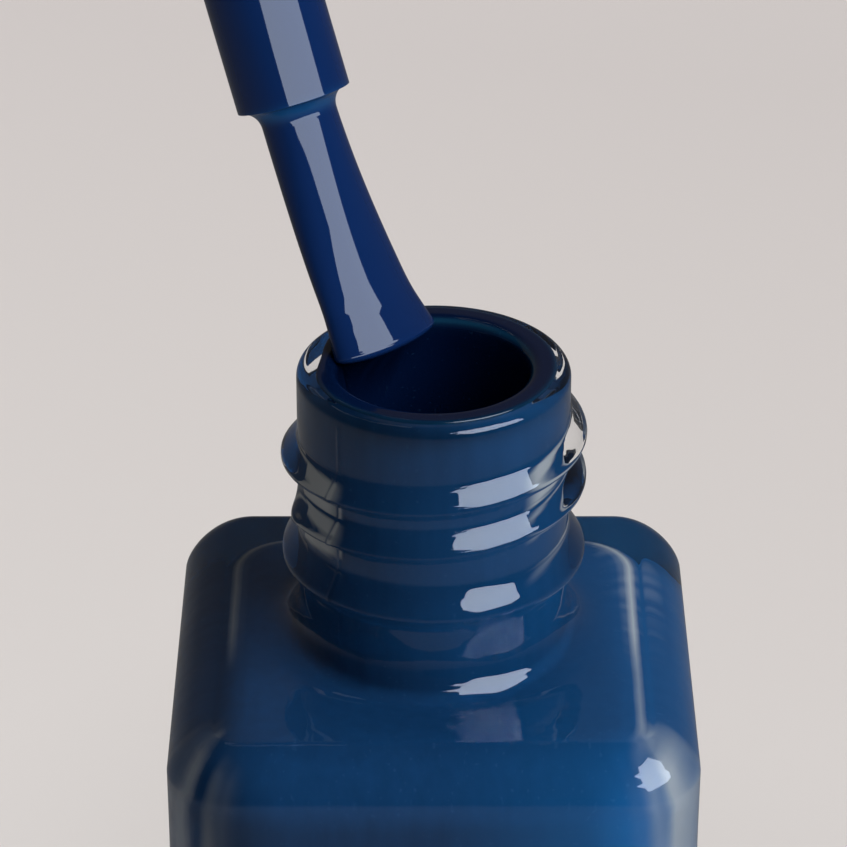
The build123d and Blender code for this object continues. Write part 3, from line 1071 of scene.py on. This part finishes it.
def shoulder_line():
    """Painted light, a thin line under the ceiling at the back and a wider, uneven one at the right."""
    back = bell((below_ceiling - 0.5 * MM) / (0.13 * MM)) * smooth_step((y + 3 * MM) / (5 * MM))
    width = 0.06 * MM + 0.16 * MM * smooth_step((y + 8 * MM) / (18 * MM)) * (1.2 + streaks)
    right = bell((below_ceiling - 0.55 * MM) / width) * (x > cavity_half - 2.4 * MM)
    return 0.5 * back + 0.4 * right * smooth_step((y + 9 * MM) / (2 * MM))


def front_corners():
    """Painted light in streaky bands down both front corners, 51 degrees to each side of the front."""
    off = np.abs(np.abs(np.arctan2(x, -y)) - math.radians(51))
    band = bell(off / math.radians(4)) * smooth_step((below_ceiling - 0.4 * MM) / (1 * MM))
    return band * np.clip(0.5 + 1.6 * streaks, 0, 1)


def neck_lobes():
    """Painted light in banded lobes at both sides of the bore's lower half.

    They lie where the neck's glass is thickest.
    """
    on_bore = (reach < bore_r + 0.1 * MM) * smooth_step((rim_z - 4 * MM - z) / (1 * MM))
    on_bore = on_bore * smooth_step((z - rim_z + 11 * MM) / (2 * MM))
    bands = np.clip(3.5 * ripple(angle * 4, z / (0.33 * MM), seed=42), 0, 1)
    return smooth_step((np.abs(x) - 3.55 * MM) / (0.65 * MM)) * bands * on_bore


# all three are painted light: a pale grey on the polish where clear glass would show light from behind
pale = shoulder_line() + 0.8 * front_corners() + 0.9 * neck_lobes()
mark(skin, "pale", np.clip(pale, 0, 1) * ~meets_air)
paint(skin, under_glass)
print(int((pale > 0.5).sum()), "points are pale")

# %% Marks on bridge and brush
brush_gloss = 0.7  # it has begun to dry on the brush, while the bridge is still wet
for thing, gloss in ((bridge, 1.0), (wet_brush, brush_gloss)):
    height = (positions(thing) - tip) @ stem_up
    # painted reflection: a teal ring on the coat's collar under the end of the stem
    collar_reflection = bell((height - tuft_length + 0.55 * MM) / (0.35 * MM))
    mark(thing, "air", np.full(len(height), gloss))
    mark(thing, "thin", 0.5 * collar_reflection * (thing == wet_brush))
    mark(thing, "settled", np.zeros(len(height)))
    mark(thing, "pale", np.zeros(len(height)))
paint(bridge, under_glass)
paint(wet_brush, on_brush_finish)
print("polish on", [thing.name for thing in (skin, bridge, wet_brush)])

# %% [markdown]
# ## Plastic, foam, nylon and steel
# The rest of the applicator is what it is on any such bottle. Stem and inner cap are moulded
# polypropylene with a faint satin flow. The outer cap is glossy black. The liner is foam, the
# bristles are nylon, and the balls that stir the polish are polished steel. One function makes
# them all, since they differ only in colour, roughness and the size of their grain.

# %% Hard finishes
def solid_finish(
    name, dark, light, rough, metallic=0.0, grain=900, depth=0.00001, coat=0.0, stretch=(1, 1, 1)
):
    """A moulded, drawn or ground surface: two close colours, a varying roughness, fine bumps."""
    finish = Finish(name)
    grains = finish.noise(grain, 4.0, stretch)
    patches = finish.noise(grain / 9, 2.0)
    body = finish.node(
        "ShaderNodeBsdfPrincipled",
        inputs={
            "Base Color": finish.ramp(grains * 0.5 + patches * 0.5, [(0.3, dark), (0.7, light)]),
            "Roughness": patches * 0.12 + (rough - 0.06),
            "Metallic": metallic,
            "Coat Weight": coat,
            "Coat Roughness": 0.04,
            "Normal": finish.bump(grains, depth, 0.6),
        },
    )
    return finish.surface(body)


nodes = frame["nodes"]
stem_plastic = solid_finish("stem_plastic", grey(0.018), grey(0.03), 0.34, stretch=(1, 1, 0.3))
inner_plastic = solid_finish("inner_cap_plastic", grey(0.62), grey(0.70), 0.42, depth=0.00002)
outer_plastic = solid_finish(
    "outer_cap_plastic", grey(0.008), grey(0.013), 0.22, coat=0.6, grain=1400
)
foam = solid_finish(
    "liner_foam", (0.72, 0.72, 0.69), (0.84, 0.84, 0.82), 0.8, grain=5200, depth=0.00008
)
nylon = solid_finish("bristle_nylon", (0.02, 0.02, 0.024), (0.05, 0.05, 0.055), 0.38)
steel = solid_finish("ball_steel", grey(0.50), grey(0.62), 0.2, metallic=1.0, grain=3000)
wire = solid_finish(
    "staple_steel", (0.55, 0.53, 0.49), (0.66, 0.64, 0.6), 0.3, metallic=1.0, grain=4000
)
paint(fibres, nylon)
plain_nodes = {
    "brush_stem": stem_plastic,
    "bristle_staple": wire,
    "inner_cap": inner_plastic,
    "outer_cap": outer_plastic,
    "cap_liner": foam,
    "mixing_ball_front": steel,
    "mixing_ball_back": steel,
}
for name, material in plain_nodes.items():
    paint(nodes[name], material)
print(len(plain_nodes), "plain nodes painted")

# %% [markdown]
# ## Floor
# The bottle stands on a pale sweep, which is a floor that curves up into a wall, so that no line
# shows behind it. A large sheet of paper under one lamp is never quite even, and here its colour
# is painted a little darker towards the back and the right: painted shade for the lamp's falloff.

# %% Sweep
def sweep_surface():
    """A floor that turns up into a wall: floor, quarter circle and wall, carried across X."""
    bend = np.linspace(0, np.pi / 2, 16)
    radius = 0.8
    run = np.concatenate([[-2.6, -1.0, 0.0], 1.2 + radius * np.sin(bend), [2.0]])
    rise = np.concatenate([[0, 0, 0], radius * (1 - np.cos(bend)), [2.6]])
    across = np.linspace(-3.5, 3.5, 9)
    grid = np.stack(np.broadcast_arrays(across, run[:, None], rise[:, None]), -1)
    number = np.arange(grid.shape[0] * grid.shape[1]).reshape(grid.shape[:2])
    corners = [number[:-1, :-1], number[:-1, 1:], number[1:, 1:], number[1:, :-1]]
    return grid.reshape(-1, 3), [np.stack(corners, -1).reshape(-1, 4)]


sweep = to_mesh("sweep", *sweep_surface())
finish = Finish("pale_sweep")
on_floor = finish.place()
# painted shade: the paper's colour darkens towards the back and the right
shade = finish.axis(on_floor, 1) * 6 + finish.axis(on_floor, 0) * 1.5 + finish.noise(6, 4.0) * 0.1
painted_paper_shade = finish.ramp(shade, [(0.2, (0.735, 0.708, 0.692)), (0.95, (0.645, 0.612, 0.602))])
paint(sweep, finish.surface(finish.node("ShaderNodeBsdfDiffuse", inputs={"Color": painted_paper_shade})))
sweep.visible_glossy = False  # below, gloss shows the darker room and not the pale paper
sweep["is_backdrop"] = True
print("sweep", len(sweep.data.polygons), "faces")

# %% [markdown]
# ## Softboxes
# Everything glossy here is drawn by what it reflects, so the room is kept dark and two softboxes
# at the front right are the only bright things in it. A softbox is a glowing sheet, and its
# outline is what the highlights show, so it is a mesh with the real shape. Its corners are
# directions: an angle round from the front and an angle up. The high sheet lights everything. The
# low one lights only the brush, because in the glass it would show as a second panel. The two
# meet along one line and never overlap, since a sheet that doesn't light a piece still hides from
# it whatever lies behind.

# %% Softboxes
softbox_middle = np.array([0, 0, 0.05])
softbox_distance = 1.0
softbox_radiance = (6.0, 6.8, 8.0)


def toward(azimuth, elevation):
    """The unit direction at an angle to the right of the front and an angle above the floor."""
    a = np.radians(azimuth)
    e = np.radians(elevation)
    return np.stack([np.sin(a) * np.cos(e), -np.cos(a) * np.cos(e), np.sin(e)], -1)


def link_to(source, receivers):
    """Lets a lamp or a glowing sheet light only the things named."""
    group = bpy.data.collections.new(source.name + "_receivers")
    for receiver in receivers:
        group.objects.link(receiver)
    source.light_linking.receiver_collection = group


def softbox(name, corners, receivers):
    """A glowing sheet over a polygon of directions, at one distance from the neck.

    Each side is divided, so that the sheet keeps that distance all along it."""
    corners = np.array(corners, float)
    share = np.linspace(0, 1, 7)[:-1, None]
    sides = zip(corners, np.roll(corners, -1, 0))
    outline = np.concatenate([a + (b - a) * share for a, b in sides])
    points = softbox_middle + softbox_distance * toward(*outline.T)
    sheet = to_mesh(name, points, [np.arange(len(points))[None, :]])
    finish = Finish(name + "_cloth")
    glow = {"Color": (*softbox_radiance, 1), "Strength": 1.0}
    paint(sheet, finish.surface(finish.node("ShaderNodeEmission", inputs=glow)))
    sheet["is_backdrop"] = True
    link_to(sheet, receivers)


brush_pieces = [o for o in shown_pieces() if "applicator" in body_of(o)]
low_sheet = [(-9, -6), (70, -6), (73, 9), (62, 12), (78, 24), (31, 24), (-2, 13), (-7, 9)]
high_sheet = [(31, 24), (78, 24), (84, 31), (80, 36), (88, 44), (78, 62), (30, 62)]
high_sheet += [(26, 54), (9, 51), (24, 45), (25, 39), (13, 36), (27, 31)]
softbox("low_softbox", low_sheet, brush_pieces)
softbox("high_softbox", high_sheet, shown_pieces())
print("low softbox lights", [o.name for o in brush_pieces])

# %% [markdown]
# ## Room and floor lamp
# The glass shows the room wherever it shows no softbox. The room is nearly black overhead and
# behind the camera, a little lighter ahead, and grey below like a floor in shade, which gives the
# glass its soft edges. The floor has a lamp of its own, which adds no glints elsewhere.

# %% Room
room_black = (0.015, 0.015, 0.018)
wall_grey = (0.085, 0.08, 0.08)
floor_grey = (0.17, 0.165, 0.16)
room = Finish("room", bpy.data.worlds)
direction = room.node("ShaderNodeTexCoord")
ahead = room.axis(direction, 1)
up = room.axis(direction, 2)
overhead = room.ramp(up, [(0.62, grey(0)), (0.85, grey(1))])
underfoot = room.ramp(up * 0.5 + 0.5, [(0.30, grey(1)), (0.52, grey(0))])
colour = room.ramp(ahead * 0.5 + 0.5, [(0.4, room_black), (0.75, wall_grey)])
colour = room.blend(overhead, colour, (*room_black, 1))
colour = room.blend(underfoot, colour, (*floor_grey, 1))
background = room.node("ShaderNodeBackground", inputs={"Color": colour})
bpy.context.scene.world = room.surface(background, "ShaderNodeOutputWorld")
print("world", bpy.context.scene.world.name)

# %% Floor lamp
lamp_data = bpy.data.lights.new("floor_lamp", "AREA")
lamp_data.shape = "RECTANGLE"
lamp_data.size = 1.6
lamp_data.size_y = 1.2
lamp_data.energy = 50
lamp_data.color = (1, 0.983, 0.972)
floor_lamp = bpy.data.objects.new("floor_lamp", lamp_data)
bpy.context.scene.collection.objects.link(floor_lamp)
floor_lamp.location = (-0.25, 0.35, 2.2)
lamp_aim = Vector((-0.1, 0.25, 0))
floor_lamp.rotation_euler = (lamp_aim - floor_lamp.location).to_track_quat("-Z", "Y").to_euler()
link_to(floor_lamp, [sweep])
print("floor lit by", floor_lamp.name)

# %% [markdown]
# ## Colour and light paths
# Glass over polish needs long paths: light goes in through the outer face, bounces on the blue
# and comes out again, often through a second wall. The plain view transform keeps the blue as
# deep as its numbers say, where a filmic one would grey it.

# %% Colour and paths
scene = bpy.context.scene
scene.view_settings.view_transform = "Standard"
scene.cycles.max_bounces = 14
scene.cycles.transmission_bounces = 12
scene.cycles.glossy_bounces = 4
scene.cycles.diffuse_bounces = 3
scene.cycles.caustics_refractive = True
scene.cycles.use_denoising = True
print("up to", scene.cycles.max_bounces, "bounces")
